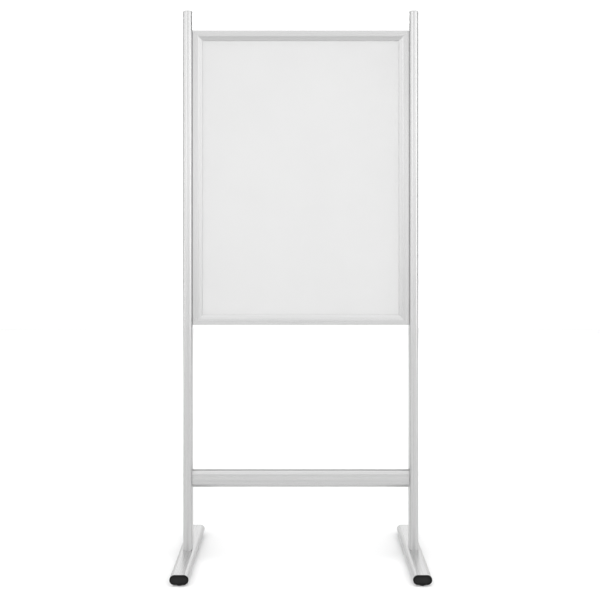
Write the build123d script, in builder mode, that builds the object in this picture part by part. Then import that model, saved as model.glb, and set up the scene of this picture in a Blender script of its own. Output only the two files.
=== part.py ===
from build123d import *
import os

# Free-standing whiteboard: two uprights on two feet, a crossbar, and a framed board between the uprights.
# X runs to the right, Y to the back and Z up. The origin is on the floor, midway between the feet.

# Flat-oval tube of the uprights, the feet and the crossbar
tube_width = 53.0            # over the rounded edges
tube_depth = 27.0            # over the flats
tube_wall = 2.0

# Stand
clear_width = 648.0          # between the inner flats of the uprights
stand_height = 1640.0        # floor to the top of the upright caps
foot_length = 450.0          # over both end caps
floor_gap = 5.0              # floor to the underside of a foot
crossbar_height = 243.0      # floor to the crossbar's centre line

# Board
board_height = 880.0
board_drop = 57.0            # top of the stand to the top of the board
board_gap = 0.5              # side rail to upright, filled by the flange of each board nut
rail_face = 29.0             # width of a rail seen from the front
rail_depth = 26.0
rail_flat = 17.0             # flat part of a rail's face, before the bevel
rail_wall = 1.8
rail_edge_radius = 1.2
rail_bevel_radius = 12.0     # rounding between the flat and the bevel
lip_thickness = 1.5          # edge of the bevel, next to the sheet
panel_recess = 19.5          # outer edge of the board to the edge of the panel
panel_edge_gap = 1.0         # edge of the panel to the bottom of its channel
surface_thickness = 0.8
core_thickness = 6.0
backing_thickness = 0.6
panel_gap = 0.15             # between the panel and each lip

# End pieces
upright_cap_plate = 3.0
upright_cap_edge = 1.0       # rounding of the cap's top edge
upright_cap_plug = 16.0
foot_cap_plate = 3.2
foot_cap_edge = 1.5          # rounding of the cap's outer edge
foot_cap_rim = 4.6           # width of the raised rim around the cap's face
foot_cap_dish = 1.0          # depth of the face inside the rim
foot_cap_plug = 28.0
plug_wall = 2.2
plug_gap = 0.15              # between a plug or insert and the tube's bore

# Threaded inserts
insert_length = 40.0

# Large bolts, through tube walls into the inserts
bolt_size = 8.0
bolt_length = 30.0
bolt_head_width = 13.0
bolt_head_height = 8.0
bolt_socket = 6.0
bolt_washer_width = 16.0
access_hole = 17.0           # lets a bolt's washer and head through the far wall

# Small bolts, through the uprights into the board nuts
board_bolt_size = 6.0
board_bolt_length = 16.0
board_bolt_head_width = 10.0
board_bolt_head_height = 6.0
board_bolt_socket = 5.0
board_washer_width = 12.0
board_bolt_inset = 130.0     # board's top or bottom edge to the nearest bolt
board_nut_flange = 13.0
board_nut_barrel = 9.0
board_nut_reach = 9.0        # barrel's length inside the rail

washer_thickness = 1.6
hole_clearance = 0.4         # on the diameter, around a bolt's shank
thread_clearance = 0.1       # on the diameter, in a threaded hole
socket_depth_share = 0.5     # of the head's height

# Access plugs
access_plug_head = 19.0
access_plug_plate = 1.0
access_plug_stem = 5.0
access_plug_gap = 0.2        # on the radius

# Corner keys and their screws
key_leg = 70.0
key_gap = 0.2
key_screw_size = 4.0
key_screw_head = 7.5
key_screw_head_height = 2.4
key_screw_depth = 9.0        # below the rail's back face
key_screw_inset = 45.0       # board's corner to the screw, along each leg
key_screw_slot = 1.0

# Levelling glides
glide_inset = 16.5           # end of a foot to the glide's axis
glide_pad_width = 16.0
glide_pad_gap = 0.5          # between the pad and the foot when screwed right in
glide_pad_edge = 0.4         # chamfer around the pad's underside
glide_flute = 2.2            # width of each finger flute in the pad's rim
glide_flutes = 14
glide_stud_size = 8.0
glide_stud_point = 0.8       # chamfer at the stud's upper end
glide_head_width = 11.0      # stud's head, moulded into the pad
glide_head_height = 2.0
glide_head_cover = 1.2       # pad below the stud's head
glide_hole_clearance = 1.0   # on the diameter, in the foot and the cap
glide_thread_clearance = 0.1
glide_top_room = 1.5         # above the stud's upper end
boss_roof = 2.4              # left above the stud's hole
bush_width = 12.0
bush_length = 12.0
bush_gap = 0.05
boss_width = 18.0

# Worked out from the above
bore_width = tube_width - 2 * tube_wall
bore_depth = tube_depth - 2 * tube_wall
plug_width = bore_width - 2 * plug_gap
plug_depth = bore_depth - 2 * plug_gap
upright_x = clear_width / 2 + tube_depth / 2
foot_middle = floor_gap + tube_depth / 2
foot_top = floor_gap + tube_depth
upright_top = stand_height - upright_cap_plate
foot_tube_end = foot_length / 2 - foot_cap_plate
board_width = clear_width - 2 * board_gap
board_top = stand_height - board_drop
board_bottom = board_top - board_height
board_middle = (board_top + board_bottom) / 2
panel_width = board_width - 2 * panel_recess
panel_height = board_height - 2 * panel_recess
panel_thickness = surface_thickness + core_thickness + backing_thickness
channel_width = panel_thickness + 2 * panel_gap
channel_bottom = panel_recess - panel_edge_gap
lip_front = channel_width / 2 + lip_thickness
chamber_end = channel_bottom - rail_wall
chamber_depth = rail_depth - 2 * rail_wall
key_width = chamber_end - rail_wall - 2 * key_gap
key_depth = chamber_depth - 2 * key_gap
key_outer = rail_wall + key_gap
glide_y = foot_length / 2 - glide_inset
plug_bottom = floor_gap + tube_wall + plug_gap
stud_hole_top = plug_bottom + plug_depth - boss_roof
glide_stud_top = stud_hole_top - glide_top_room
insert_bolt_spacing = tube_width - tube_depth    # an insert's two threads lie on the axes of its rounded edges

sides = {"left": -1, "right": 1}
ends = {"front": -1, "back": 1}
crossbar_bolt_heights = [crossbar_height - insert_bolt_spacing / 2, crossbar_height + insert_bolt_spacing / 2]
board_bolt_heights = [board_bottom + board_bolt_inset, board_top - board_bolt_inset]
foot_bolt_places = [-insert_bolt_spacing / 2, insert_bolt_spacing / 2]


def save(builder, node):
    builder.part.label = node
    export_step(builder.part, f"parts/{node}.step")


def facing_out(side, x, y=0.0, z=0.0):
    # Plane whose normal points sideways away from the middle of the stand, with its own y upwards
    return Plane(origin=(side * x, y, z), x_dir=(0, side, 0), z_dir=(side, 0, 0))


def facing_in(side, x, y=0.0, z=0.0):
    return Plane(origin=(side * x, y, z), x_dir=(0, -side, 0), z_dir=(-side, 0, 0))


def facing_end(end, y, x=0.0, z=0.0):
    # Plane whose normal points along Y away from the middle, with its own y upwards
    return Plane(origin=(x, end * y, z), x_dir=(-end, 0, 0), z_dir=(0, end, 0))


def cap_screws(seats, size, length, head_width, head_height, socket):
    # A socket-head screw on each seat: head along the seat's normal, shank the other way
    with BuildPart() as screws:
        with BuildSketch(*seats):
            Circle(head_width / 2)
        extrude(amount=head_height)
        with BuildSketch(*[seat.offset(head_height) for seat in seats]):
            RegularPolygon(socket / 2, 6, major_radius=False)
        extrude(amount=-head_height * socket_depth_share, mode=Mode.SUBTRACT)
        with BuildSketch(*seats):
            Circle(size / 2)
        extrude(amount=-length)
    return screws


def washers(seats, size, width):
    with BuildPart() as rings:
        with BuildSketch(*seats):
            Circle(width / 2)
            Circle((size + hole_clearance) / 2, mode=Mode.SUBTRACT)
        extrude(amount=washer_thickness)
    return rings


os.makedirs("parts", exist_ok=True)

# Uprights: the section's rounded edges face the front and the back
for name, side in sides.items():
    with BuildPart() as upright:
        with BuildSketch(Plane(origin=(side * upright_x, 0, foot_top))):
            SlotOverall(tube_width, tube_depth, rotation=90)
            SlotOverall(bore_width, bore_depth, rotation=90, mode=Mode.SUBTRACT)
        extrude(amount=upright_top - foot_top)
        with BuildSketch(facing_out(side, upright_x)):
            with Locations(*[(0, z) for z in crossbar_bolt_heights + board_bolt_heights]):
                Circle(access_hole / 2)
        extrude(amount=tube_depth, mode=Mode.SUBTRACT)
        with BuildSketch(facing_in(side, upright_x)):
            with Locations(*[(0, z) for z in crossbar_bolt_heights]):
                Circle((bolt_size + hole_clearance) / 2)
            with Locations(*[(0, z) for z in board_bolt_heights]):
                Circle((board_bolt_size + hole_clearance) / 2)
        extrude(amount=tube_depth, mode=Mode.SUBTRACT)
    save(upright, f"upright_{name}")

# Upright caps: a plate with a hollow plug that pushes into the tube
for name, side in sides.items():
    with BuildPart() as upright_cap:
        with BuildSketch(Plane(origin=(side * upright_x, 0, upright_top))):
            SlotOverall(tube_width, tube_depth, rotation=90)
        extrude(amount=upright_cap_plate)
        fillet(upright_cap.faces().sort_by(Axis.Z)[-1].edges(), upright_cap_edge)
        with BuildSketch(Plane(origin=(side * upright_x, 0, upright_top))):
            SlotOverall(plug_width, plug_depth, rotation=90)
            SlotOverall(plug_width - 2 * plug_wall, plug_depth - 2 * plug_wall, rotation=90, mode=Mode.SUBTRACT)
        extrude(amount=-upright_cap_plug)
    save(upright_cap, f"upright_cap_{name}")

# Feet: the same tube lying flat, with bolt holes above, access holes below and a hole for each glide's stud
for name, side in sides.items():
    with BuildPart() as foot:
        with BuildSketch(Plane.XZ.offset(-foot_tube_end)):
            with Locations((side * upright_x, foot_middle)):
                SlotOverall(tube_width, tube_depth)
                SlotOverall(bore_width, bore_depth, mode=Mode.SUBTRACT)
        extrude(amount=2 * foot_tube_end)
        with BuildSketch(Plane.XY.offset(foot_middle)):
            with Locations(*[(side * upright_x, y) for y in foot_bolt_places]):
                Circle((bolt_size + hole_clearance) / 2)
        extrude(amount=tube_depth, mode=Mode.SUBTRACT)
        with BuildSketch(Plane.XY.offset(foot_middle)):
            with Locations(*[(side * upright_x, y) for y in foot_bolt_places]):
                Circle(access_hole / 2)
            with Locations((side * upright_x, glide_y), (side * upright_x, -glide_y)):
                Circle((glide_stud_size + glide_hole_clearance) / 2)
        extrude(amount=-tube_depth, mode=Mode.SUBTRACT)
    save(foot, f"foot_{name}")

# Foot caps: a dished plate, and a plug with a boss that holds the glide's bush
for side_name, side in sides.items():
    for end_name, end in ends.items():
        middle = facing_end(end, foot_tube_end, side * upright_x, foot_middle)
        with BuildPart() as foot_cap:
            with BuildSketch(middle):
                SlotOverall(tube_width, tube_depth)
            extrude(amount=foot_cap_plate)
            outer_face = foot_cap.faces().sort_by(Axis.Y)[-1 if end > 0 else 0]
            fillet(outer_face.edges(), foot_cap_edge)
            with BuildSketch(middle.offset(foot_cap_plate)):
                SlotOverall(tube_width - 2 * foot_cap_rim, tube_depth - 2 * foot_cap_rim)
            extrude(amount=-foot_cap_dish, mode=Mode.SUBTRACT)
            with BuildSketch(middle):
                SlotOverall(plug_width, plug_depth)
                SlotOverall(plug_width - 2 * plug_wall, plug_depth - 2 * plug_wall, mode=Mode.SUBTRACT)
                Rectangle(boss_width, plug_depth)
            extrude(amount=-foot_cap_plug)
            with BuildSketch(Plane(origin=(side * upright_x, end * glide_y, plug_bottom))):
                Circle(bush_width / 2 + bush_gap)
            extrude(amount=bush_length + bush_gap, mode=Mode.SUBTRACT)
            with BuildSketch(Plane(origin=(side * upright_x, end * glide_y, plug_bottom))):
                Circle((glide_stud_size + glide_hole_clearance) / 2)
            extrude(amount=stud_hole_top - plug_bottom, mode=Mode.SUBTRACT)
        save(foot_cap, f"foot_cap_{end_name}_{side_name}")

# Glide bushes: one in each foot cap
bush_places = [
    Plane(origin=(side * upright_x, end * glide_y, plug_bottom)) for side in sides.values() for end in ends.values()
]
with BuildPart() as glide_bushes:
    with BuildSketch(*bush_places):
        Circle(bush_width / 2)
        Circle((glide_stud_size + glide_thread_clearance) / 2, mode=Mode.SUBTRACT)
    extrude(amount=bush_length)
save(glide_bushes, "glide_bushes")

# Glides: a fluted pad on the floor, moulded around the head of a threaded stud
head_bottom = glide_head_cover
head_top = glide_head_cover + glide_head_height
pad_top = floor_gap - glide_pad_gap
for side_name, side in sides.items():
    for end_name, end in ends.items():
        place = Plane(origin=(side * upright_x, end * glide_y, 0))
        with BuildPart() as glide_pad:
            with BuildSketch(place):
                Circle(glide_pad_width / 2)
                with PolarLocations(glide_pad_width / 2, glide_flutes):
                    Circle(glide_flute / 2, mode=Mode.SUBTRACT)
            extrude(amount=pad_top)
            chamfer(glide_pad.faces().sort_by(Axis.Z)[0].edges(), glide_pad_edge)
            with BuildSketch(place.offset(head_bottom)):
                Circle(glide_head_width / 2)
            extrude(amount=glide_head_height, mode=Mode.SUBTRACT)
            with BuildSketch(place.offset(head_top)):
                Circle(glide_stud_size / 2)
            extrude(amount=pad_top - head_top, mode=Mode.SUBTRACT)
        save(glide_pad, f"glide_pad_{end_name}_{side_name}")

        with BuildPart() as glide_stud:
            with BuildSketch(place.offset(head_bottom)):
                Circle(glide_head_width / 2)
            extrude(amount=glide_head_height)
            with BuildSketch(place.offset(head_top)):
                Circle(glide_stud_size / 2)
            extrude(amount=glide_stud_top - head_top)
            chamfer(glide_stud.faces().sort_by(Axis.Z)[-1].edges(), glide_stud_point)
        save(glide_stud, f"glide_stud_{end_name}_{side_name}")

# Base inserts: a block in the bottom of each upright with two threads
for name, side in sides.items():
    with BuildPart() as upright_base:
        with BuildSketch(Plane(origin=(side * upright_x, 0, foot_top))):
            SlotOverall(plug_width, plug_depth, rotation=90)
            with Locations(*[(0, y) for y in foot_bolt_places]):
                Circle((bolt_size + thread_clearance) / 2, mode=Mode.SUBTRACT)
        extrude(amount=insert_length)
    save(upright_base, f"upright_base_{name}")

# Foot bolts and washers: they press up against the inside of a foot's upper wall
foot_seats = [
    Plane(origin=(side * upright_x, y, foot_top - tube_wall), x_dir=(1, 0, 0), z_dir=(0, 0, -1))
    for side in sides.values()
    for y in foot_bolt_places
]
save(washers(foot_seats, bolt_size, bolt_washer_width), "foot_washers")
foot_head_seats = [seat.offset(washer_thickness) for seat in foot_seats]
foot_bolts = cap_screws(foot_head_seats, bolt_size, bolt_length, bolt_head_width, bolt_head_height, bolt_socket)
save(foot_bolts, "foot_bolts")

# Crossbar: the tube on edge between the uprights
with BuildPart() as crossbar:
    with BuildSketch(Plane.YZ.offset(-clear_width / 2)):
        with Locations((0, crossbar_height)):
            SlotOverall(tube_width, tube_depth, rotation=90)
            SlotOverall(bore_width, bore_depth, rotation=90, mode=Mode.SUBTRACT)
    extrude(amount=clear_width)
save(crossbar, "crossbar")

for name, side in sides.items():
    with BuildPart() as crossbar_insert:
        with BuildSketch(facing_in(side, clear_width / 2, z=crossbar_height)):
            SlotOverall(plug_width, plug_depth, rotation=90)
            with Locations((0, insert_bolt_spacing / 2), (0, -insert_bolt_spacing / 2)):
                Circle((bolt_size + thread_clearance) / 2, mode=Mode.SUBTRACT)
        extrude(amount=insert_length)
    save(crossbar_insert, f"crossbar_insert_{name}")

# Crossbar bolts and washers: they press against the inside of an upright's inner wall
wall_inside = clear_width / 2 + tube_wall
crossbar_seats = [facing_out(side, wall_inside, z=z) for side in sides.values() for z in crossbar_bolt_heights]
save(washers(crossbar_seats, bolt_size, bolt_washer_width), "crossbar_washers")
crossbar_head_seats = [seat.offset(washer_thickness) for seat in crossbar_seats]
crossbar_bolts = cap_screws(
    crossbar_head_seats, bolt_size, bolt_length, bolt_head_width, bolt_head_height, bolt_socket
)
save(crossbar_bolts, "crossbar_bolts")

# Access plugs: they close the tool holes in the uprights' outer walls
plug_seats = [
    facing_out(side, upright_x + tube_depth / 2, z=z)
    for side in sides.values()
    for z in crossbar_bolt_heights + board_bolt_heights
]
with BuildPart() as access_plugs:
    with BuildSketch(*plug_seats):
        Circle(access_plug_head / 2)
    extrude(amount=access_plug_plate)
    with BuildSketch(*plug_seats):
        Circle(access_hole / 2 - access_plug_gap)
    extrude(amount=-access_plug_stem)
save(access_plugs, "access_plugs")

# Board rails: one mitred extrusion on each edge, drawn across its width from the outer edge inwards.
# A closed chamber takes the corner keys, and a channel between two bevelled lips takes the panel.
rails = {
    "top": (Vector(0, 0, board_top), Vector(0, 0, -1), board_width),
    "bottom": (Vector(0, 0, board_bottom), Vector(0, 0, 1), board_width),
    "left": (Vector(-board_width / 2, 0, board_middle), Vector(1, 0, 0), board_height),
    "right": (Vector(board_width / 2, 0, board_middle), Vector(-1, 0, 0), board_height),
}
screw_along = {
    "top": board_width / 2 - key_screw_inset,
    "bottom": board_width / 2 - key_screw_inset,
    "left": board_height / 2 - key_screw_inset,
    "right": board_height / 2 - key_screw_inset,
}
chamber_middle = (rail_wall + chamber_end) / 2
half_depth = rail_depth / 2
for name, (outer_edge, inward, length) in rails.items():
    along = inward.cross(Vector(0, 1, 0))
    with BuildPart() as rail:
        with BuildSketch(Plane(origin=outer_edge, x_dir=inward, z_dir=along)) as section:
            with BuildLine():
                Polyline(
                    (0, -half_depth),
                    (rail_flat, -half_depth),
                    (rail_face, -lip_front),
                    (rail_face, lip_front),
                    (rail_flat, half_depth),
                    (0, half_depth),
                    close=True,
                )
            make_face()
            fillet(section.vertices().group_by(Axis.X)[1], rail_bevel_radius)
            fillet(section.vertices().group_by(Axis.X)[0], rail_edge_radius)
            with Locations((chamber_middle, 0)):
                Rectangle(chamber_end - rail_wall, chamber_depth, mode=Mode.SUBTRACT)
            with Locations((channel_bottom, 0)):
                Rectangle(rail_face, channel_width, align=(Align.MIN, Align.CENTER), mode=Mode.SUBTRACT)
        extrude(amount=length / 2, both=True)
        for way in (-1, 1):
            split(
                bisect_by=Plane(origin=outer_edge + along * (way * length / 2), z_dir=inward + along * way),
                keep=Keep.BOTTOM,
            )
        screw_places = [
            outer_edge + inward * chamber_middle + along * (way * screw_along[name]) for way in (-1, 1)
        ]
        with BuildSketch(*[Plane(origin=place, x_dir=(1, 0, 0), z_dir=(0, 1, 0)) for place in screw_places]):
            Circle((key_screw_size + hole_clearance) / 2)
        extrude(amount=rail_depth, mode=Mode.SUBTRACT)
        if name in sides:
            with BuildSketch(facing_in(sides[name], board_width / 2)):
                with Locations(*[(0, z) for z in board_bolt_heights]):
                    Circle((board_nut_barrel + hole_clearance) / 2)
            extrude(amount=2 * rail_wall, mode=Mode.SUBTRACT)
    save(rail, f"rail_{name}")

# Corner keys: an L in the rails' chambers at each corner, threaded for two screws
levels = {"top": (board_top, 1), "bottom": (board_bottom, -1)}
key_screw_places = []
for level_name, (level, up) in levels.items():
    for side_name, side in sides.items():
        corner_x = side * (board_width / 2 - key_outer)
        corner_z = level - up * key_outer
        screws_here = [
            (side * (board_width / 2 - key_screw_inset), level - up * chamber_middle),
            (side * (board_width / 2 - chamber_middle), level - up * key_screw_inset),
        ]
        key_screw_places += screws_here
        with BuildPart() as corner_key:
            with BuildSketch(Plane.XZ):
                with Locations((corner_x - side * key_leg / 2, corner_z - up * key_width / 2)):
                    Rectangle(key_leg, key_width)
                with Locations((corner_x - side * key_width / 2, corner_z - up * key_leg / 2)):
                    Rectangle(key_width, key_leg)
                with Locations(*screws_here):
                    Circle((key_screw_size + thread_clearance) / 2, mode=Mode.SUBTRACT)
            extrude(amount=key_depth / 2, both=True)
        save(corner_key, f"corner_key_{level_name}_{side_name}")

# Key screws: slotted pan heads on the rails' back faces
back_seats = [Plane(origin=(x, half_depth, z), x_dir=(1, 0, 0), z_dir=(0, 1, 0)) for x, z in key_screw_places]
with BuildPart() as key_screws:
    with BuildSketch(*back_seats):
        Circle(key_screw_head / 2)
    extrude(amount=key_screw_head_height)
    with BuildSketch(*[seat.offset(key_screw_head_height) for seat in back_seats]):
        Rectangle(key_screw_head, key_screw_slot)
    extrude(amount=-key_screw_head_height * socket_depth_share, mode=Mode.SUBTRACT)
    with BuildSketch(*back_seats):
        Circle(key_screw_size / 2)
    extrude(amount=-key_screw_depth)
save(key_screws, "key_screws")

# Board nuts: a flange between rail and upright, and a threaded barrel in the rail's chamber
nut_seats = [facing_out(side, board_width / 2, z=z) for side in sides.values() for z in board_bolt_heights]
with BuildPart() as board_nuts:
    with BuildSketch(*nut_seats):
        Circle(board_nut_flange / 2)
    extrude(amount=board_gap)
    with BuildSketch(*nut_seats):
        Circle(board_nut_barrel / 2)
    extrude(amount=-board_nut_reach)
    with BuildSketch(*[seat.offset(board_gap) for seat in nut_seats]):
        Circle((board_bolt_size + thread_clearance) / 2)
    extrude(amount=-board_gap - board_nut_reach, mode=Mode.SUBTRACT)
save(board_nuts, "board_nuts")

board_seats = [facing_out(side, wall_inside, z=z) for side in sides.values() for z in board_bolt_heights]
save(washers(board_seats, board_bolt_size, board_washer_width), "board_washers")
board_head_seats = [seat.offset(washer_thickness) for seat in board_seats]
board_bolts = cap_screws(
    board_head_seats,
    board_bolt_size,
    board_bolt_length,
    board_bolt_head_width,
    board_bolt_head_height,
    board_bolt_socket,
)
save(board_bolts, "board_bolts")

# Panel: steel writing surface, core board and backing sheet, one behind the other
panel_front = -panel_thickness / 2
layers = {
    "writing_surface": surface_thickness,
    "core_board": core_thickness,
    "backing_sheet": backing_thickness,
}
layer_front = panel_front
for node, thickness in layers.items():
    with BuildPart() as layer:
        with BuildSketch(Plane.XZ.offset(-layer_front)):
            with Locations((0, board_middle)):
                Rectangle(panel_width, panel_height)
        extrude(amount=-thickness)
    save(layer, node)
    layer_front += thickness
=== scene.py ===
import math

import bmesh
import bpy
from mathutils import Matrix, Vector


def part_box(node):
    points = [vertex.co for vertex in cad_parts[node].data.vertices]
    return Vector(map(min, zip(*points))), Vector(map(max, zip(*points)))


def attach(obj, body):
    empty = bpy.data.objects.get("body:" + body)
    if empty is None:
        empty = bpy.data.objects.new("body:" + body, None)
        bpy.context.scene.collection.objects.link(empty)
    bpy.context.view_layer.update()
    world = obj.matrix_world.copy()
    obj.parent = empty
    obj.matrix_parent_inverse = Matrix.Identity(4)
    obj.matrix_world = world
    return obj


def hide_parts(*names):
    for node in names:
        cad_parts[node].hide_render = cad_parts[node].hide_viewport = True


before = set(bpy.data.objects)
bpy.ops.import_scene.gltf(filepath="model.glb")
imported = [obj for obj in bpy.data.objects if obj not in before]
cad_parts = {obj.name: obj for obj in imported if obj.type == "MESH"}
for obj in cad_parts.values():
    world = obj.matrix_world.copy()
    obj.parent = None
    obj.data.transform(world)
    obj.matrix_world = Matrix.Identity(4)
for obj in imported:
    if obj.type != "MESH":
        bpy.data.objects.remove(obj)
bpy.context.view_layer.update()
bpy.context.scene.view_settings.view_transform = "Standard"
print("frame loaded:", len(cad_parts), "nodes")

mm = 0.001
sides = {"left": -1, "right": 1}
ends = {"front": -1, "back": 1}
axes = {"x": 0, "y": 1, "z": 2}


# Camera and light

studio = {
    "floorSize": 13.0, "floorColour": "#F8F8F8", "skyColour": "#FFFFFF",
    "seenStrength": 1.2,                # the sky as the camera itself sees it
}
paper = {                               # how bright each stretch of the paper is
    "front": 1.30, "sides": 1.73, "behindSides": 0.12, "behind": 1.52,
}
paperSteps = [                          # where one stretch turns into the next, along y
    ("front", "sides", -0.85, -0.60),
    ("sides", "behindSides", -0.05, 0.30),
    ("behindSides", "behind", 0.85, 0.93),
]
camera = {
    "distance": 2.875, "height": 0.9986, "sensor": 36.0, "focal": 57.48,
    "shiftSideways": -0.0013, "shiftUp": -0.1233,
}
softboxes = {
    "keyLeft": {"place": (-2.2, -3.4, 2.2), "aim": (0, 0, 1.2), "size": (1.2, 2.2), "power": 9.8},
    "keyRight": {"place": (2.3, -3.2, 2.4), "aim": (0, 0, 1.2), "size": (1.2, 2.2), "power": 9.9},
    "sideLeft": {"place": (-4.5, 0.3, 1.4), "aim": (0, 0, 1.0), "size": (2.0, 2.6), "power": 13.5},
    "sideRight": {"place": (4.4, -0.9, 1.4), "aim": (0, 0, 1.0), "size": (2.0, 2.6), "power": 20.0},
    "front": {"place": (0, -6.0, 1.5), "aim": (0, 0, 1.0), "size": (6.0, 1.6), "power": 16.7},
    "behind": {"place": (0, 4.5, 3.5), "aim": (0, 0, 0.4), "size": (5.0, 2.0), "power": 71.6},
}


def setUpCamera():
    data = bpy.data.cameras.new("camera")
    data.sensor_width = camera["sensor"]
    data.lens = camera["focal"]
    data.shift_x = camera["shiftSideways"]
    data.shift_y = camera["shiftUp"]
    body = bpy.data.objects.new("camera", data)
    body.location = (0, -camera["distance"], camera["height"])
    body.rotation_euler = (math.radians(90), 0, 0)      # level, square to the board
    bpy.context.scene.collection.objects.link(body)
    bpy.context.scene.camera = body


def hangSoftbox(name, facts):
    light = bpy.data.lights.new(name, "AREA")
    light.shape = "RECTANGLE"
    light.size, light.size_y = facts["size"]
    light.energy = facts["power"]
    lamp = bpy.data.objects.new(name, light)
    lamp.location = facts["place"]
    aim = Vector(facts["aim"]) - Vector(facts["place"])
    lamp.rotation_euler = aim.to_track_quat("-Z", "Y").to_euler()
    bpy.context.scene.collection.objects.link(lamp)


# Nodes and colours

def hexColour(code):
    # sRGB hex to the linear values that the shaders work in
    channels = [int(code[i:i + 2], 16) / 255 for i in (1, 3, 5)]
    return [c / 12.92 if c <= 0.04045 else ((c + 0.055) / 1.055) ** 2.4 for c in channels] + [1.0]


def addNode(tree, kind, settings=None, inputs=None, links=None):
    # adds one node with its settings, its plain inputs, and links as {input: (node, output)}
    node = tree.nodes.new("ShaderNode" + kind)
    for key, value in (settings or {}).items():
        setattr(node, key, value)
    for key, value in (inputs or {}).items():
        node.inputs[key].default_value = value
    for key, (source, output) in (links or {}).items():
        tree.links.new(source.outputs[output], node.inputs[key])
    return node


def newMaterial(name):
    material = bpy.data.materials.new(name)
    material.use_nodes = True
    material.node_tree.nodes.clear()
    return material, material.node_tree


def perMetre(spacing):
    # a texture's scale for a feature of that many millimetres
    return 1 / (spacing * mm)


def blendColours(tree, dark, light, amount):
    # the colour between two hex colours, by an output between 0 and 1
    mix = addNode(tree, "Mix", settings={"data_type": "RGBA"})
    mix.inputs[6].default_value = hexColour(dark)
    mix.inputs[7].default_value = hexColour(light)
    tree.links.new(amount[0].outputs[amount[1]], mix.inputs[0])
    return mix, 2


def between(tree, source, low, high, fromLow=0.0, fromHigh=1.0):
    ranged = addNode(
        tree, "MapRange",
        inputs={"From Min": fromLow, "From Max": fromHigh, "To Min": low, "To Max": high},
        links={"Value": source},
    )
    return ranged, "Result"


def finishShader(tree, inputs, links):
    shader = addNode(tree, "BsdfPrincipled", inputs=inputs, links=links)
    addNode(tree, "OutputMaterial", links={"Surface": (shader, "BSDF")})


# Finishes

aluminium = {
    "dark": "#B1B1B1", "light": "#B8B8B8", "roughness": 0.30, "roughnessSpread": 0.05,
    "metallic": 0.75,                   # the rest is the light that the etched oxide scatters
    "dieLine": 1.1, "dieBand": 9.0, "lineStretch": 0.004, "lineDepth": 0.010,
}


def anodisedAluminium(name, alongAxis):
    # extruded, etched and clear anodised: a soft satin metal, with faint die lines along the bar
    material, tree = newMaterial(name)
    coords = addNode(tree, "TexCoord")
    stretch = [1.0, 1.0, 1.0]
    stretch[axes[alongAxis]] = aluminium["lineStretch"]
    mapping = addNode(tree, "Mapping", inputs={"Scale": stretch}, links={"Vector": (coords, "Object")})
    lines = addNode(
        tree, "TexNoise", inputs={"Scale": perMetre(aluminium["dieLine"]), "Detail": 3.0},
        links={"Vector": (mapping, "Vector")},
    )
    bands = addNode(
        tree, "TexNoise", inputs={"Scale": perMetre(aluminium["dieBand"]), "Detail": 1.0},
        links={"Vector": (mapping, "Vector")},
    )
    spread = aluminium["roughnessSpread"]
    roughness = between(
        tree, (lines, "Fac"), aluminium["roughness"] - spread, aluminium["roughness"] + spread, 0.3, 0.7
    )
    tone = between(tree, (bands, "Fac"), 0, 1, 0.3, 0.7)
    colour = blendColours(tree, aluminium["dark"], aluminium["light"], tone)
    bump = addNode(
        tree, "Bump", inputs={"Strength": 0.3, "Distance": aluminium["lineDepth"] * mm},
        links={"Height": (lines, "Fac")},
    )
    finishShader(
        tree, {"Metallic": aluminium["metallic"]},
        {"Base Color": colour, "Roughness": roughness, "Normal": (bump, "Normal")},
    )
    return material


moulding = {"ior": 1.51, "cloud": 18.0, "roughnessSpread": 0.06, "grainSmoothness": 0.6}
plastics = {
    "blackPolyethylene": {
        "dark": "#0A0A0A", "light": "#0F0F0F", "roughness": 0.50, "specular": 0.14,
        "grain": 0.5, "grainDepth": 0.03,
    },
    # the dished face: its coarser grain and higher roughness are the moulded finish, and its lighter tone
    # is painted light, a painted highlight for the brighter field in the dish
    "blackPolyethylenePaintedLightFace": {
        "dark": "#191919", "light": "#1E1E1E", "roughness": 0.60, "specular": 0.14,
        "grain": 0.7, "grainDepth": 0.05,
    },
    "blackNylon": {
        "dark": "#161616", "light": "#1D1D1D", "roughness": 0.42, "specular": 0.25,
        "grain": 0.4, "grainDepth": 0.02,
    },
    "greyPolyethylene": {
        "dark": "#A8A8A8", "light": "#AEAEAE", "roughness": 0.50, "specular": 0.50,
        "grain": 0.5, "grainDepth": 0.03,
    },
}


def sparkGrainPlastic(name):
    # moulded in a spark-eroded tool: an even, fine, matt grain with a slight variation in tone
    facts = plastics[name]
    material, tree = newMaterial(name)
    coords = addNode(tree, "TexCoord")
    grains = addNode(
        tree, "TexVoronoi", settings={"feature": "SMOOTH_F1"},
        inputs={"Scale": perMetre(facts["grain"]), "Smoothness": moulding["grainSmoothness"]},
        links={"Vector": (coords, "Object")},
    )
    cloud = addNode(
        tree, "TexNoise", inputs={"Scale": perMetre(moulding["cloud"]), "Detail": 4.0},
        links={"Vector": (coords, "Object")},
    )
    tone = between(tree, (cloud, "Fac"), 0, 1, 0.35, 0.65)
    colour = blendColours(tree, facts["dark"], facts["light"], tone)
    level, spread = facts["roughness"], moulding["roughnessSpread"]
    rough = between(tree, (cloud, "Fac"), level - spread, level + spread, 0.35, 0.65)
    bump = addNode(
        tree, "Bump", inputs={"Strength": 0.5, "Distance": facts["grainDepth"] * mm},
        links={"Height": (grains, "Distance")},
    )
    finishShader(
        tree, {"IOR": moulding["ior"], "Specular IOR Level": facts["specular"]},
        {"Base Color": colour, "Roughness": rough, "Normal": (bump, "Normal")},
    )
    return material


enamel = {
    "dark": "#BEBEBE", "light": "#C1C1C1", "roughness": 0.22, "ior": 1.52,
    "peel": 5.0, "peelDepth": 0.004, "wipe": 160.0,
}


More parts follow.
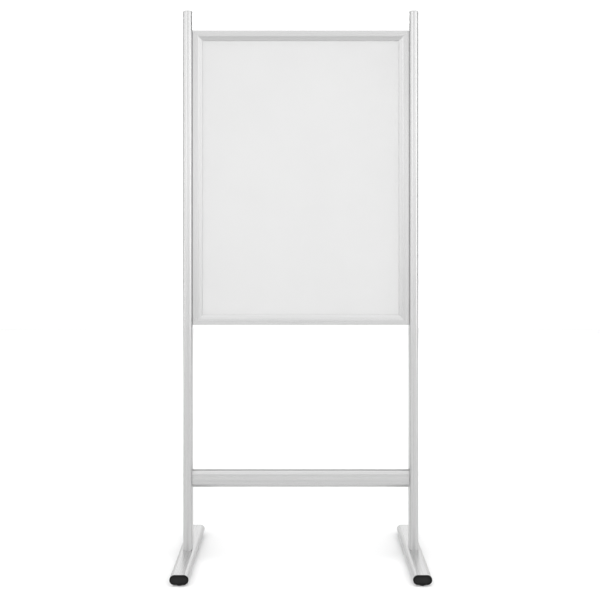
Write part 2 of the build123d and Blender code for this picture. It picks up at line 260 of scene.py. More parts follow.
def dryWipeEnamel():
    # white enamel baked on steel sheet: glossy, with a shallow orange peel and faint dulling from wiping
    material, tree = newMaterial("dryWipeEnamel")
    coords = addNode(tree, "TexCoord")
    peel = addNode(
        tree, "TexNoise", inputs={"Scale": perMetre(enamel["peel"]), "Detail": 1.0},
        links={"Vector": (coords, "Object")},
    )
    wipes = addNode(
        tree, "TexNoise", inputs={"Scale": perMetre(enamel["wipe"]), "Detail": 4.0},
        links={"Vector": (coords, "Object")},
    )
    worn = between(tree, (wipes, "Fac"), 0, 1, 0.15, 0.85)
    rough = between(tree, worn, enamel["roughness"] - 0.04, enamel["roughness"] + 0.06)
    colour = blendColours(tree, enamel["dark"], enamel["light"], worn)
    bump = addNode(
        tree, "Bump", inputs={"Strength": 0.4, "Distance": enamel["peelDepth"] * mm},
        links={"Height": (peel, "Fac")},
    )
    finishShader(
        tree, {"IOR": enamel["ior"]}, {"Base Color": colour, "Roughness": rough, "Normal": (bump, "Normal")}
    )
    return material


galvanised = {
    "dark": "#A0A2A3", "light": "#AFB1B2", "smooth": 0.42, "rough": 0.50,
    "crystal": 14.0, "wander": 30.0, "wanderBy": 20.0 * mm,
}


def galvanisedSteel():
    # hot-dip zinc on steel sheet: overlapping grey crystals, each a little lighter or duller than the next
    material, tree = newMaterial("galvanisedSteel")
    coords = addNode(tree, "TexCoord")
    warp = addNode(
        tree, "TexNoise", inputs={"Scale": perMetre(galvanised["wander"]), "Detail": 3.0},
        links={"Vector": (coords, "Object")},
    )
    nudge = addNode(
        tree, "VectorMath", settings={"operation": "MULTIPLY_ADD"},
        inputs={1: [galvanised["wanderBy"]] * 3}, links={0: (warp, "Color"), 2: (coords, "Object")},
    )
    crystals = addNode(
        tree, "TexVoronoi", inputs={"Scale": perMetre(galvanised["crystal"]), "Randomness": 1.0},
        links={"Vector": (nudge, "Vector")},
    )
    tone = addNode(tree, "SeparateColor", links={"Color": (crystals, "Color")})
    colour = blendColours(tree, galvanised["dark"], galvanised["light"], (tone, "Red"))
    rough = between(tree, (tone, "Green"), galvanised["smooth"], galvanised["rough"])
    finishShader(tree, {"Metallic": 1.0}, {"Base Color": colour, "Roughness": rough})
    return material


zincPlate = {
    "dark": "#A4A7AA", "light": "#C2C5C9", "smooth": 0.22, "rough": 0.42,
    "mottle": 1.5, "mottleDepth": 0.01,
}


def zincPlatedSteel():
    # turned or rolled steel with bright zinc: a clean metal with fine irregular mottling
    material, tree = newMaterial("zincPlatedSteel")
    coords = addNode(tree, "TexCoord")
    mottle = addNode(
        tree, "TexNoise", inputs={"Scale": perMetre(zincPlate["mottle"]), "Detail": 4.0},
        links={"Vector": (coords, "Object")},
    )
    colour = blendColours(tree, zincPlate["dark"], zincPlate["light"], (mottle, "Fac"))
    rough = between(tree, (mottle, "Fac"), zincPlate["smooth"], zincPlate["rough"], 0.3, 0.7)
    bump = addNode(
        tree, "Bump", inputs={"Strength": 0.3, "Distance": zincPlate["mottleDepth"] * mm},
        links={"Height": (mottle, "Fac")},
    )
    finishShader(
        tree, {"Metallic": 1.0}, {"Base Color": colour, "Roughness": rough, "Normal": (bump, "Normal")}
    )
    return material


brass = {
    "dark": "#B5913F", "light": "#CDAA5A", "smooth": 0.24, "rough": 0.36,
    "ring": 0.6,                        # to each radian of the wave, which counts 20 of them to a unit
}


def turnedBrass():
    # free-cutting brass, turned: fine rings from the tool around the upright axis
    material, tree = newMaterial("turnedBrass")
    coords = addNode(tree, "TexCoord")
    rings = addNode(
        tree, "TexWave", settings={"bands_direction": "Z"},
        inputs={"Scale": perMetre(brass["ring"]) / 20, "Distortion": 0.4},
        links={"Vector": (coords, "Object")},
    )
    colour = blendColours(tree, brass["dark"], brass["light"], (rings, "Fac"))
    rough = between(tree, (rings, "Fac"), brass["smooth"], brass["rough"])
    finishShader(tree, {"Metallic": 1.0}, {"Base Color": colour, "Roughness": rough})
    return material


casting = {
    "dark": "#8C8E90", "light": "#A9ABAC", "smooth": 0.45, "rough": 0.62,
    "flow": 8.0, "grit": 0.7, "gritDepth": 0.03,
}


def castAluminium():
    # die cast: a dull grey skin with cloudy flow marks and a slight sandiness
    material, tree = newMaterial("castAluminium")
    coords = addNode(tree, "TexCoord")
    flow = addNode(
        tree, "TexNoise", inputs={"Scale": perMetre(casting["flow"]), "Detail": 6.0, "Distortion": 1.2},
        links={"Vector": (coords, "Object")},
    )
    grit = addNode(
        tree, "TexNoise", inputs={"Scale": perMetre(casting["grit"]), "Detail": 2.0},
        links={"Vector": (coords, "Object")},
    )
    colour = blendColours(tree, casting["dark"], casting["light"], (flow, "Fac"))
    rough = between(tree, (flow, "Fac"), casting["smooth"], casting["rough"])
    bump = addNode(
        tree, "Bump", inputs={"Strength": 0.4, "Distance": casting["gritDepth"] * mm},
        links={"Height": (grit, "Fac")},
    )
    finishShader(
        tree, {"Metallic": 1.0}, {"Base Color": colour, "Roughness": rough, "Normal": (bump, "Normal")}
    )
    return material


woodFibre = {"dark": "#8A6B49", "light": "#B9966B", "roughness": 0.85, "fibre": 2.0, "fibreDepth": 0.08}


def fibreboard():
    # pressed wood fibre: short tan fibres that lie flat in the sheet
    material, tree = newMaterial("fibreboard")
    coords = addNode(tree, "TexCoord")
    mapping = addNode(
        tree, "Mapping", inputs={"Scale": (1.0, 6.0, 1.0)}, links={"Vector": (coords, "Object")}
    )
    fibres = addNode(
        tree, "TexNoise", inputs={"Scale": perMetre(woodFibre["fibre"]), "Detail": 5.0, "Distortion": 1.5},
        links={"Vector": (mapping, "Vector")},
    )
    colour = blendColours(tree, woodFibre["dark"], woodFibre["light"], (fibres, "Fac"))
    bump = addNode(
        tree, "Bump", inputs={"Strength": 0.5, "Distance": woodFibre["fibreDepth"] * mm},
        links={"Height": (fibres, "Fac")},
    )
    finishShader(
        tree, {"Roughness": woodFibre["roughness"]}, {"Base Color": colour, "Normal": (bump, "Normal")}
    )
    return material


def paleFloor():
    material, tree = newMaterial("paleFloor")
    coords = addNode(tree, "TexCoord")
    cloud = addNode(
        tree, "TexNoise", inputs={"Scale": perMetre(900.0), "Detail": 2.0},
        links={"Vector": (coords, "Object")},
    )
    rough = between(tree, (cloud, "Fac"), 0.85, 0.95)
    finishShader(
        tree, {"Base Color": hexColour(studio["floorColour"]), "Specular IOR Level": 0.2},
        {"Roughness": rough},
    )
    return material


anodised = {axis: anodisedAluminium("anodisedAluminium" + axis.upper(), axis) for axis in axes}
blackCapPlastic = sparkGrainPlastic("blackPolyethylene")
# the dished face's plastic, painted lighter than the rim as painted light
paintedLightFacePlastic = sparkGrainPlastic("blackPolyethylenePaintedLightFace")
blackPadPlastic = sparkGrainPlastic("blackNylon")
greyCapPlastic = sparkGrainPlastic("greyPolyethylene")
zincSteel = zincPlatedSteel()
print("finishes made")


# Picking and shaping

def pick(kind, test):
    # selects, in edit mode, the faces, edges or vertices that pass the test
    bpy.ops.mesh.select_mode(type=kind)
    bpy.ops.mesh.select_all(action="DESELECT")
    shape = bmesh.from_edit_mesh(bpy.context.object.data)
    parts = {"FACE": shape.faces, "EDGE": shape.edges, "VERT": shape.verts}[kind]
    for part in parts:
        if test(part):
            part.select_set(True)
    shape.select_flush_mode()
    bmesh.update_edit_mesh(bpy.context.object.data)


def near(a, b):
    return abs(a - b) < 0.02 * mm


def faceAt(axis, way, level):
    # faces that look along an axis, one way, at that level
    i = axes[axis]
    return lambda face: face.normal[i] * way > 0.99 and near(face.calc_center_median()[i], level)


def edgeAt(axis, level):
    i = axes[axis]
    return lambda edge: all(near(v.co[i], level) for v in edge.verts)


def edgeAlong(axis):
    i = axes[axis]
    return lambda edge: abs((edge.verts[1].co - edge.verts[0].co).normalized()[i]) > 0.999


def both(*tests):
    return lambda part: all(test(part) for test in tests)


def bevelPicked(width, segments):
    bpy.ops.mesh.bevel(offset=width, segments=segments, affect="EDGES", clamp_overlap=True)


def pullPicked(axis, distance):
    move = [0.0, 0.0, 0.0]
    move[axes[axis]] = distance
    bpy.ops.mesh.extrude_region_move(TRANSFORM_OT_translate={"value": move})


def slicePicked(point, normal, cutOff=False):
    # cuts what is selected by a plane; cutOff also removes and closes the side that the normal points to
    bpy.ops.mesh.bisect(
        plane_co=point, plane_no=normal, use_fill=cutOff, clear_outer=cutOff, threshold=0.001 * mm
    )


def editMode():
    bpy.ops.object.mode_set(mode="EDIT")


def objectMode():
    bpy.ops.object.mode_set(mode="OBJECT")


def startBlock(name, low, high):
    # a box primitive at its size and place
    low, high = Vector(low), Vector(high)
    bpy.ops.object.select_all(action="DESELECT")
    bpy.ops.mesh.primitive_cube_add(size=1, location=(low + high) / 2, scale=high - low)
    bpy.ops.object.transform_apply()
    bpy.context.object.name = name
    return bpy.context.object


def startRound(name, axis, radius, low, high, sectors=48):
    # a cylinder primitive around an axis through the origin
    turn = {"x": (0, math.radians(90), 0), "y": (math.radians(-90), 0, 0), "z": (0, 0, 0)}[axis]
    place = [0.0, 0.0, 0.0]
    place[axes[axis]] = (low + high) / 2
    bpy.ops.object.select_all(action="DESELECT")
    bpy.ops.mesh.primitive_cylinder_add(
        vertices=sectors, radius=radius, depth=high - low, location=place, rotation=turn
    )
    bpy.ops.object.transform_apply()
    bpy.context.object.name = name
    return bpy.context.object


def useOnly(piece):
    bpy.ops.object.select_all(action="DESELECT")
    piece.select_set(True)
    bpy.context.view_layer.objects.active = piece


def cutWith(piece, tool, operation="DIFFERENCE"):
    cut = piece.modifiers.new("cut", "BOOLEAN")
    cut.operation = operation
    cut.object = tool
    cut.solver = "EXACT"
    useOnly(piece)
    bpy.ops.object.modifier_apply(modifier=cut.name)
    bpy.data.objects.remove(tool)


def copyTo(piece, name, place, turn=(0, 0, 0)):
    # a copy with its own mesh, turned and then moved, with both left in the mesh
    useOnly(piece)
    bpy.ops.object.duplicate()
    copy = bpy.context.object
    copy.name = name
    copy.rotation_euler = turn
    copy.location = place
    bpy.ops.object.transform_apply()
    return copy


def joined(pieces, name):
    bpy.ops.object.select_all(action="DESELECT")
    for piece in pieces:
        piece.select_set(True)
    bpy.context.view_layer.objects.active = pieces[0]
    bpy.ops.object.join()
    bpy.context.object.name = name
    return bpy.context.object


def finishPiece(piece, material, body, slotName, *nodes, angle=35):
    useOnly(piece)
    editMode()
    bpy.ops.mesh.select_all(action="SELECT")
    bpy.ops.mesh.remove_doubles(threshold=0.005 * mm)
    bpy.ops.mesh.normals_make_consistent(inside=False)
    objectMode()
    bpy.ops.object.shade_smooth_by_angle(angle=math.radians(angle))
    flatten = piece.modifiers.new("flatten", "WEIGHTED_NORMAL")     # keeps the large flats looking flat
    flatten.keep_sharp = True
    bpy.ops.object.modifier_apply(modifier="flatten")
    piece.data.materials.clear()
    piece.data.materials.append(material)
    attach(piece, body)
    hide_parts(*nodes)


def grainPicked(piece, material, test):
    # a second finish on the faces that pass the test
    piece.data.materials.append(material)
    useOnly(piece)
    editMode()
    pick("FACE", test)
    piece.active_material_index = len(piece.data.materials) - 1
    bpy.ops.object.material_slot_assign()
    objectMode()


# Board rails: mitred extrusions with a bevel down to the sheet

boardLow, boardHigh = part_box("rail_left")[0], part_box("rail_right")[1]
sheetLow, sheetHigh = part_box("writing_surface")[0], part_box("backing_sheet")[1]
rail = {
    "face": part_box("rail_left")[1].x - boardLow.x,
    "depth": boardHigh.y - boardLow.y,
    "flat": 17.0 * mm,
    "bevelRounding": 3.5 * mm,          # tangent length of the soft corner between flat and bevel
    "edgeRounding": 0.5 * mm,
    "lip": 1.5 * mm,
    "sheetGap": 0.15 * mm,
    "channelRoom": 1.0 * mm,            # sheet's edge to the bottom of its channel
    "wall": 1.8 * mm,
    "mitreBreak": 0.14 * mm,            # edges taken off along each mitre, which leaves a hairline
    "screwHole": 2.2 * mm,              # radius
    "nutHole": 4.7 * mm,                # radius
    "screwInset": 45.0 * mm,            # corner to the key screw, along the rail
}
channelHalf = (sheetHigh.y - sheetLow.y) / 2 + rail["sheetGap"]
channelDepth = sheetLow.x - boardLow.x - rail["channelRoom"]
lipHalf = channelHalf + rail["lip"]
chamberEnd = channelDepth - rail["wall"]
chamberMiddle = (rail["wall"] + chamberEnd) / 2
boltHead = 5.0 * mm                     # radius of a board bolt's head
nutHeights = [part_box("board_bolts")[0].z + boltHead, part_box("board_bolts")[1].z - boltHead]


def railBar(name, length, nutPlaces):
    # drawn as the top rail: along x, its outer edge at z = 0 and its inner edge below
    spare = 4 * mm                      # past each mitre, and cut off at the end
    half, deep = length / 2, rail["depth"] / 2

    def overChannel(face):
        return faceAt("z", -1, -rail["face"])(face) and abs(face.calc_center_median().y) < channelHalf / 2

    bar = startBlock(name, (-half - spare, -deep, -rail["flat"]), (half + spare, deep, 0))
    editMode()
    pick("FACE", faceAt("z", -1, -rail["flat"]))
    pullPicked("z", rail["flat"] - rail["face"])
    bpy.ops.transform.resize(value=(1, lipHalf / deep, 1), center_override=(0, 0, -rail["face"]))
    pick("EDGE", both(edgeAlong("x"), edgeAt("z", -rail["flat"])))
    bevelPicked(rail["bevelRounding"], 10)
    pick("EDGE", both(edgeAlong("x"), edgeAt("z", 0)))
    bevelPicked(rail["edgeRounding"], 5)
    for level in (-channelHalf, channelHalf):
        pick("FACE", faceAt("z", -1, -rail["face"]))
        slicePicked((0, level, 0), (0, 1, 0))
    pick("FACE", overChannel)
    pullPicked("z", rail["face"] - channelDepth)
    objectMode()
    wall = rail["wall"]
    reach = half + 2 * spare
    cutWith(bar, startBlock("chamber", (-reach, wall - deep, -chamberEnd), (reach, deep - wall, -wall)))
    for way in (-1, 1):
        hole = startRound("screwHole", "y", rail["screwHole"], 0, rail["depth"], 24)
        here = copyTo(hole, "screwHoleHere", (way * (half - rail["screwInset"]), 0, -chamberMiddle))
        bpy.data.objects.remove(hole)
        cutWith(bar, here)
    for place in nutPlaces:
        hole = startRound("nutHole", "z", rail["nutHole"], -2 * wall, 2 * wall, 32)
        here = copyTo(hole, "nutHoleHere", (place, 0, 0))
        bpy.data.objects.remove(hole)
        cutWith(bar, here)
    useOnly(bar)
    editMode()
    for way in (-1, 1):
        bpy.ops.mesh.select_all(action="SELECT")
        slicePicked((way * half, 0, 0), (way, 0, -1), cutOff=True)
    mitres = [Vector((way, 0, -1)).normalized() for way in (-1, 1)]

    def onMitre(face):
        return any(face.normal.dot(mitre) > 0.999 for mitre in mitres)

    def mitreEdge(edge):
        # outline of a mitre, without the edges of the chamber and the channel
        if sum(onMitre(face) for face in edge.link_faces) != 1:
            return False
        middle = (edge.verts[0].co + edge.verts[1].co) / 2
        across, down, slack = abs(middle.y), -middle.z, 0.1 * mm
        inChamber = wall - slack < down < chamberEnd + slack and across < deep - wall + slack
        inChannel = down > chamberEnd + slack and across < channelHalf + slack
        return not inChamber and not inChannel

    pick("EDGE", mitreEdge)
    bevelPicked(rail["mitreBreak"], 2)
    objectMode()
    return bar


boardMiddle = (boardLow.z + boardHigh.z) / 2
boardWidth = boardHigh.x - boardLow.x
boardHeight = boardHigh.z - boardLow.z
acrossRail = railBar("acrossRail", boardWidth, [])
uprightRail = railBar("uprightRail", boardHeight, [z - boardMiddle for z in nutHeights])
railPlaces = {
    "top": (acrossRail, (0, 0, boardHigh.z), 0, "x"),
    "bottom": (acrossRail, (0, 0, boardLow.z), 180, "x"),
    "left": (uprightRail, (boardLow.x, 0, boardMiddle), -90, "z"),
    "right": (uprightRail, (boardHigh.x, 0, boardMiddle), 90, "z"),
}
for name, (bar, place, turn, along) in railPlaces.items():
    piece = copyTo(bar, "rail" + name.capitalize(), place, (0, math.radians(turn), 0))
    finishPiece(piece, anodised[along], "stand", "rail", "rail_" + name, angle=25)
for bar in (acrossRail, uprightRail):
    bpy.data.objects.remove(bar)
print("board rails made")


# Foot caps: a dished face, and a plug whose boss holds the glide's bush

tubeLow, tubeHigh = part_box("foot_left")
capLow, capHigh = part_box("foot_cap_front_left")
studLow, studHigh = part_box("glide_stud_front_left")
bushLow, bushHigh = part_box("glide_bushes")
footMiddle = (tubeLow.z + tubeHigh.z) / 2
footAxis = {side: sum(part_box("foot_" + side), Vector()).x / 2 for side in sides}
glideAxis = {end: sum(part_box(f"glide_stud_{end}_left"), Vector()).y / 2 for end in ends}
footCap = {
    "width": capHigh.x - capLow.x,
    "height": capHigh.z - capLow.z,
    "plate": tubeLow.y - capLow.y,
    "plugLength": capHigh.y - tubeLow.y,
    "plugStep": 2.15 * mm,              # the tube's wall, and the gap inside it
    "plugWall": 2.2 * mm,
    "leadIn": 0.8 * mm,
    "boss": 9.0 * mm,                   # half its width
    "edgeRounding": 1.4 * mm,
    "backBreak": 0.25 * mm,             # leaves a fine groove against the tube
    "rim": 4.6 * mm,
    "dish": 1.0 * mm,
    "dishSlope": 0.9 * mm,
    "dishRounding": 0.35 * mm,
    "studRoom": 0.5 * mm,
    "bushRoom": 0.05 * mm,
    "boreTop": 1.5 * mm,                # above the stud's end
    "quarterSteps": 16,
}
stud = {
    "radius": 4.0 * mm,
    "threadDepth": 0.7 * mm,
    "pitch": 1.25 * mm,
    "crest": 0.16,                      # a tooth's width at its top, as a share of the pitch
    "steps": 28,
    "headHeight": 2.0 * mm,
}


def ovalBlock(name, low, high, along, rounding, steps):
    # a block whose four edges along one axis are rounded until its section is a flat oval
    piece = startBlock(name, low, high)
    editMode()
    pick("EDGE", edgeAlong(along))
    bevelPicked(rounding, steps)
    bpy.ops.mesh.select_all(action="SELECT")
    bpy.ops.mesh.remove_doubles(threshold=0.01 * mm)
    return piece


def besideFace(axis, least, most):
    # edges that border a face whose normal leans that much along the axis
    i = axes[axis]
    return lambda edge: any(least < abs(face.normal[i]) < most for face in edge.link_faces)


def footCapShape():
    # drawn with the back of its plate at y = 0 and its face to the front
    width, height = footCap["width"] / 2, footCap["height"] / 2
    plate, tip = footCap["plate"], footCap["plugLength"]
    steps = footCap["quarterSteps"]
    cap = ovalBlock("footCapShape", (-width, -plate, -height), (width, 0, height), "y", height, steps)
    pick("EDGE", edgeAt("y", 0))
    bevelPicked(footCap["backBreak"], 2)
    pick("FACE", faceAt("y", 1, 0))
    bpy.ops.mesh.inset(thickness=footCap["plugStep"] - footCap["backBreak"])
    pullPicked("y", tip)
    pick("EDGE", edgeAt("y", tip))
    bevelPicked(footCap["leadIn"], 1)
    pocketSide = footCap["boss"] - footCap["plugWall"]
    for x in (-pocketSide, pocketSide):
        pick("FACE", faceAt("y", 1, tip))
        slicePicked((x, 0, 0), (1, 0, 0))
    pick("FACE", lambda face: faceAt("y", 1, tip)(face) and abs(face.calc_center_median().x) > pocketSide)
    bpy.ops.mesh.inset(thickness=footCap["plugWall"], use_individual=True)
    pullPicked("y", -tip)
    pick("FACE", faceAt("y", -1, -plate))
    bpy.ops.mesh.inset(thickness=footCap["rim"])
    bpy.ops.mesh.inset(thickness=footCap["dishSlope"], depth=-footCap["dish"])
    pick("EDGE", edgeAt("y", footCap["dish"] - plate))
    bevelPicked(footCap["dishRounding"], 3)
    pick("EDGE", both(edgeAt("y", -plate), besideFace("y", 0.3, 0.95)))
    bevelPicked(footCap["dishRounding"], 3)
    pick("EDGE", both(edgeAt("y", -plate), besideFace("y", -1, 0.05)))
    bevelPicked(footCap["edgeRounding"], 6)
    objectMode()
    bushRadius = bushHigh.x - footAxis["right"]
    holes = [
        (bushRadius + footCap["bushRoom"], bushLow.z - mm, bushHigh.z + footCap["bushRoom"]),
        (stud["radius"] + footCap["studRoom"], bushLow.z - mm, studHigh.z + footCap["boreTop"]),
    ]
    for radius, low, high in holes:
        hole = startRound("hole", "z", radius, low - footMiddle, high - footMiddle, 32)
        hole.location.y = glideAxis["front"] - tubeLow.y
        bpy.ops.object.transform_apply()
        cutWith(cap, hole)
    return cap


capShape = footCapShape()
capFace = {
    "front": tubeLow.y - footCap["plate"] + footCap["dish"],
    "back": tubeHigh.y + footCap["plate"] - footCap["dish"],
}
for end, endWay in ends.items():
    for side in sides:
        place = (footAxis[side], tubeLow.y if end == "front" else tubeHigh.y, footMiddle)
        turn = (0, 0, 0 if end == "front" else math.pi)
        piece = copyTo(capShape, f"footCap{end.capitalize()}{side.capitalize()}", place, turn)
        finishPiece(piece, blackCapPlastic, "stand", "foot_cap", f"foot_cap_{end}_{side}")
        # the dished face takes the plastic whose lighter tone is painted light, beside its real coarser
        # grain
        grainPicked(piece, paintedLightFacePlastic, faceAt("y", endWay, capFace[end]))
bpy.data.objects.remove(capShape)
print("foot caps made")


# Glides: a fluted pad moulded around the head of a threaded stud

padLow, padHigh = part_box("glide_pad_front_left")
pad = {
    "radius": (padHigh.y - padLow.y) / 2,
    "height": padHigh.z,
    "flutes": 14,
    "stepsPerFlute": 4,
    "fluteScale": 0.86,                 # where a flute's middle goes, as a share of the radius
    "fluteRounding": 0.7 * mm,
    "landRounding": 0.25 * mm,
    "edgeRounding": 0.4 * mm,
}


def padShape():
    # drawn around the stud's axis, standing on the floor
    sectors = pad["flutes"] * pad["stepsPerFlute"]
    piece = startRound("padShape", "z", pad["radius"], 0, pad["height"], sectors)
    editMode()

    def turnOf(edge):
        # how many flutes round from the start
        middle = edge.verts[0].co
        return math.atan2(middle.x, middle.y) / math.tau * pad["flutes"]

    def atFlute(edge):
        return edgeAlong("z")(edge) and abs(turnOf(edge) - round(turnOf(edge))) < 0.02

    def besideFlute(edge):
        away = abs(turnOf(edge) - round(turnOf(edge)))
        return edgeAlong("z")(edge) and abs(away - 1 / pad["stepsPerFlute"]) < 0.02

    pick("EDGE", atFlute)
    bpy.ops.transform.resize(value=(pad["fluteScale"], pad["fluteScale"], 1), center_override=(0, 0, 0))
    pick("EDGE", besideFlute)
    bevelPicked(pad["landRounding"], 2)
    pick("EDGE", atFlute)
    bevelPicked(pad["fluteRounding"], 4)
    for level in (0, pad["height"]):
        pick("EDGE", both(edgeAt("z", level), besideFace("z", -1, 0.05)))
        bevelPicked(pad["edgeRounding"], 2)
    objectMode()
    headRadius = (studHigh.y - studLow.y) / 2
    headTop = studLow.z + stud["headHeight"]
    cutWith(piece, startRound("headRoom", "z", headRadius, studLow.z, headTop, 48))
    cutWith(piece, startRound("shankRoom", "z", stud["radius"], headTop - mm, pad["height"] + mm, 48))
    return piece


def studShape():
    # a tooth wound up the axis, cut square at both ends and set on the round head
    root, crest, pitch = stud["radius"] - stud["threadDepth"], stud["radius"], stud["pitch"]
    headTop = studLow.z + stud["headHeight"]
    turns = math.ceil((studHigh.z - studLow.z) / pitch) + 1
    bpy.ops.object.select_all(action="DESELECT")
    bpy.ops.mesh.primitive_plane_add(
        size=1, location=((root + crest) / 2, 0, studLow.z - pitch / 2), rotation=(math.radians(90), 0, 0)
    )
    piece = bpy.context.object
    piece.name = "studShape"
    piece.scale = (crest - root, pitch, 1)
    bpy.ops.object.transform_apply()
    editMode()
    pick("EDGE", edgeAt("x", root))
    bpy.ops.mesh.delete(type="EDGE_FACE")
    pick("EDGE", edgeAt("x", crest))
    bpy.ops.transform.resize(value=(1, 1, stud["crest"]), center_override=(crest, 0, studLow.z - pitch / 2))
    objectMode()
    wind = piece.modifiers.new("wind", "SCREW")
    wind.axis = "Z"
    wind.screw_offset = pitch
    wind.iterations = turns
    wind.steps = wind.render_steps = stud["steps"]
    bpy.ops.object.modifier_apply(modifier="wind")
    editMode()
    bpy.ops.mesh.select_all(action="SELECT")
    bpy.ops.mesh.remove_doubles(threshold=0.002 * mm)
    for level, up in ((headTop - 0.5 * mm, -1), (studHigh.z, 1)):
        bpy.ops.mesh.select_all(action="SELECT")
        slicePicked((0, 0, level), (0, 0, up), cutOff=True)
    bpy.ops.mesh.select_all(action="SELECT")
    bpy.ops.mesh.normals_make_consistent(inside=False)
    objectMode()
    head = startRound("studHead", "z", (studHigh.y - studLow.y) / 2, studLow.z, headTop, 48)
    cutWith(piece, head, "UNION")
    return piece


padMaster, studMaster = padShape(), studShape()
for end in ends:
    for side in sides:
        name = end.capitalize() + side.capitalize()
        place = (footAxis[side], glideAxis[end], 0)
        piece = copyTo(padMaster, "glidePad" + name, place)
        finishPiece(piece, blackPadPlastic, f"glide_{end}_{side}", "glide_pad", f"glide_pad_{end}_{side}")
        piece = copyTo(studMaster, "glideStud" + name, place)
        finishPiece(piece, zincSteel, f"glide_{end}_{side}", "steel", f"glide_stud_{end}_{side}")
bpy.data.objects.remove(padMaster)
bpy.data.objects.remove(studMaster)
print("glides made")


# Upright caps: a rounded plate with a hollow plug

uprightCapLow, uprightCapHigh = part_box("upright_cap_left")
uprightCap = {
    "plate": uprightCapHigh.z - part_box("upright_left")[1].z,
    "topRounding": 1.0 * mm,
    "underBreak": 0.2 * mm,
    "plugStep": 2.15 * mm,
    "plugWall": 2.2 * mm,
    "leadIn": 0.8 * mm,
    "quarterSteps": 16,
}


def uprightCapShape():
    # drawn with the underside of its plate at z = 0
    width = (uprightCapHigh.x - uprightCapLow.x) / 2
    depth = (uprightCapHigh.y - uprightCapLow.y) / 2
    plate = uprightCap["plate"]
    tip = uprightCapLow.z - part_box("upright_left")[1].z
    steps = uprightCap["quarterSteps"]
    cap = ovalBlock("uprightCapShape", (-width, -depth, 0), (width, depth, plate), "z", width, steps)
    pick("EDGE", edgeAt("z", 0))
    bevelPicked(uprightCap["underBreak"], 2)
    pick("EDGE", edgeAt("z", plate))
    bevelPicked(uprightCap["topRounding"], 5)
    pick("FACE", faceAt("z", -1, 0))
    bpy.ops.mesh.inset(thickness=uprightCap["plugStep"] - uprightCap["underBreak"])
    pullPicked("z", tip)
    pick("EDGE", edgeAt("z", tip))
    bevelPicked(uprightCap["leadIn"], 1)
    pick("FACE", faceAt("z", -1, tip))
    bpy.ops.mesh.inset(thickness=uprightCap["plugWall"] - uprightCap["leadIn"])
    pullPicked("z", -tip)
    objectMode()
    return cap


capShape = uprightCapShape()
for side in sides:
    place = (footAxis[side], 0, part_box("upright_" + side)[1].z)
    piece = copyTo(capShape, "uprightCap" + side.capitalize(), place)
    finishPiece(piece, greyCapPlastic, "stand", "upright_cap", "upright_cap_" + side)
bpy.data.objects.remove(capShape)


# Access plugs, on the outer sides of the uprights

plugLow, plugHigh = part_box("access_plugs")
crossbarMiddle = sum(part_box("crossbar"), Vector()).z / 2
boltStep = (footCap["width"] - footCap["height"]) / 2       # crossbar's centre line to each bolt
accessPlug = {
    "radius": (plugHigh.y - plugLow.y) / 2,
    "stemRadius": 8.3 * mm,
    "stemLength": 5.0 * mm,
    "stemWall": 1.6 * mm,
    "edgeRounding": 0.6 * mm,
    "dishInset": 3.2 * mm,
    "dish": 0.25 * mm,
    "dishRounding": 0.2 * mm,
}


def accessPlugShape():
    # drawn around the x axis, its head's underside at x = 0
    head = plugHigh.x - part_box("upright_right")[1].x
    plug = startRound("accessPlugShape", "x", accessPlug["radius"], 0, head, 64)
    editMode()
    pick("FACE", faceAt("x", 1, head))
    bpy.ops.mesh.inset(thickness=accessPlug["dishInset"])
    bpy.ops.mesh.inset(thickness=accessPlug["dish"] * 2, depth=-accessPlug["dish"])
    pick("EDGE", both(edgeAt("x", head), besideFace("x", -1, 0.05)))
    bevelPicked(accessPlug["edgeRounding"], 5)
    pick("FACE", faceAt("x", -1, 0))
    bpy.ops.mesh.inset(thickness=accessPlug["radius"] - accessPlug["stemRadius"])
    pullPicked("x", -accessPlug["stemLength"])
    bpy.ops.mesh.inset(thickness=accessPlug["stemWall"])
    pullPicked("x", accessPlug["stemLength"] - head / 2)
    objectMode()
    return plug


plugShape = accessPlugShape()
plugCopies = []
for side, way in sides.items():
    for height in [crossbarMiddle - boltStep, crossbarMiddle + boltStep] + nutHeights:
        place = (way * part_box("upright_right")[1].x, 0, height)
        plugCopies.append(copyTo(plugShape, "plugCopy", place, (0, 0, 0 if way > 0 else math.pi)))
bpy.data.objects.remove(plugShape)
finishPiece(joined(plugCopies, "accessPlugs"), greyCapPlastic, "stand", "plug", "access_plugs")


# Key screws, on the back of the board

screwLow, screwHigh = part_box("key_screws")
keyScrew = {
    "radius": 3.75 * mm,
    "headRounding": 1.1 * mm,
    "slotHalf": 0.5 * mm,
    "slotDepth": 1.2 * mm,
    "shankRadius": 2.0 * mm,
}


def keyScrewShape():
    # drawn around the y axis, its head's seat at y = 0 and its slot across x
    head = screwHigh.y - boardHigh.y
    screw = startRound("keyScrewShape", "y", keyScrew["radius"], 0, head, 40)
    editMode()
    pick("EDGE", edgeAt("y", head))
    bevelPicked(keyScrew["headRounding"], 5)
    pick("FACE", faceAt("y", -1, 0))
    bpy.ops.mesh.inset(thickness=keyScrew["radius"] - keyScrew["shankRadius"])
    pullPicked("y", screwLow.y - boardHigh.y)
    objectMode()
    reach, half = keyScrew["radius"] + mm, keyScrew["slotHalf"]
    slot = startBlock("slot", (-reach, head - keyScrew["slotDepth"], -half), (reach, head + mm, half))
    cutWith(screw, slot)
    return screw


screwShape = keyScrewShape()
screwCopies = []
for way in (-1, 1):
    for up in (-1, 1):
        level = boardHigh.z if up > 0 else boardLow.z
        outer, inner = boardHigh.x - chamberMiddle, boardHigh.x - rail["screwInset"]
        for x, below in ((inner, chamberMiddle), (outer, rail["screwInset"])):
            turn = math.radians(37 * len(screwCopies))          # no two slots stop at the same angle
            place = (way * x, boardHigh.y, level - up * below)
            screwCopies.append(copyTo(screwShape, "screwCopy", place, (0, turn, 0)))
bpy.data.objects.remove(screwShape)
finishPiece(joined(screwCopies, "keyScrews"), zincSteel, "stand", "steel", "key_screws")
print("upright caps, access plugs and key screws made")


# Finishes for the pieces that keep their CAD shape

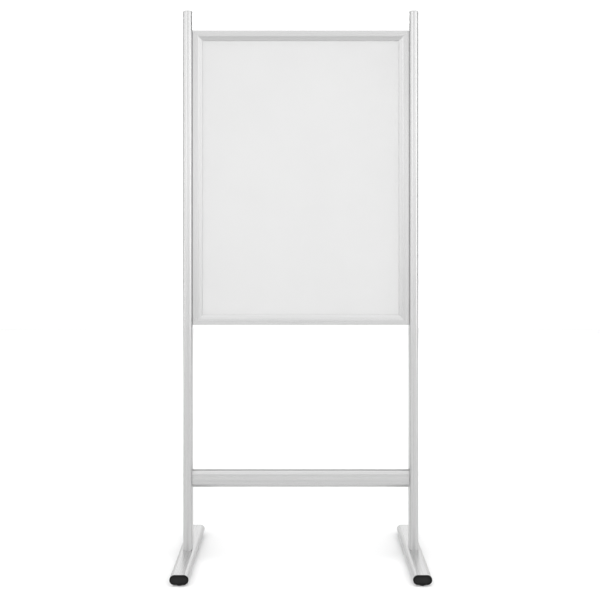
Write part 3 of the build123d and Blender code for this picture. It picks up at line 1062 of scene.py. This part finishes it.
def dress(material, *nodeNames):
    for nodeName in nodeNames:
        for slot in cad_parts[nodeName].material_slots:
            slot.material = material


dress(anodised["z"], "upright_left", "upright_right")
dress(anodised["x"], "crossbar")
dress(anodised["y"], "foot_left", "foot_right")
dress(dryWipeEnamel(), "writing_surface")
dress(fibreboard(), "core_board")
dress(galvanisedSteel(), "backing_sheet")
dress(turnedBrass(), "glide_bushes")
castings = ("upright_base", "crossbar_insert", "corner_key_top", "corner_key_bottom")
dress(castAluminium(), *[f"{part}_{side}" for part in castings for side in sides])
dress(
    zincSteel, "board_nuts",
    *[f"{joint}_{kind}" for joint in ("foot", "crossbar", "board") for kind in ("bolts", "washers")],
)
print("CAD pieces dressed")


# Studio

bpy.ops.object.select_all(action="DESELECT")
bpy.ops.mesh.primitive_plane_add(size=studio["floorSize"], location=(0, 0, 0))
floor = bpy.context.object
floor.name = "studioFloor"
floor.data.materials.append(paleFloor())


def paperSky():
    # white wherever it is looked at, but the object mirrors a ring of paper with a gap behind each side
    sky = bpy.data.worlds.new("paperSky")
    bpy.context.scene.world = sky
    sky.use_nodes = True
    tree = sky.node_tree
    coords = addNode(tree, "TexCoord")
    direction = addNode(tree, "SeparateXYZ", links={"Vector": (coords, "Generated")})
    total = None
    for before, after, start, end in paperSteps:
        change = paper[after] - paper[before]
        rise = addNode(
            tree, "MapRange", settings={"interpolation_type": "SMOOTHSTEP"},
            inputs={"From Min": start, "From Max": end, "To Min": 0.0, "To Max": change},
            links={"Value": (direction, "Y")},
        )
        if total is None:
            total = addNode(tree, "Math", inputs={1: paper[before]}, links={0: (rise, "Result")})
        else:
            total = addNode(tree, "Math", links={0: (rise, "Result"), 1: (total, "Value")})
    ray = addNode(tree, "LightPath")
    seen = addNode(
        tree, "Mix", inputs={3: studio["seenStrength"]},
        links={0: (ray, "Is Camera Ray"), 2: (total, "Value")},
    )
    background = tree.nodes["Background"]
    background.inputs["Color"].default_value = hexColour(studio["skyColour"])
    tree.links.new(seen.outputs[0], background.inputs["Strength"])


paperSky()
for name, facts in softboxes.items():
    hangSoftbox(name, facts)
setUpCamera()

print("done")
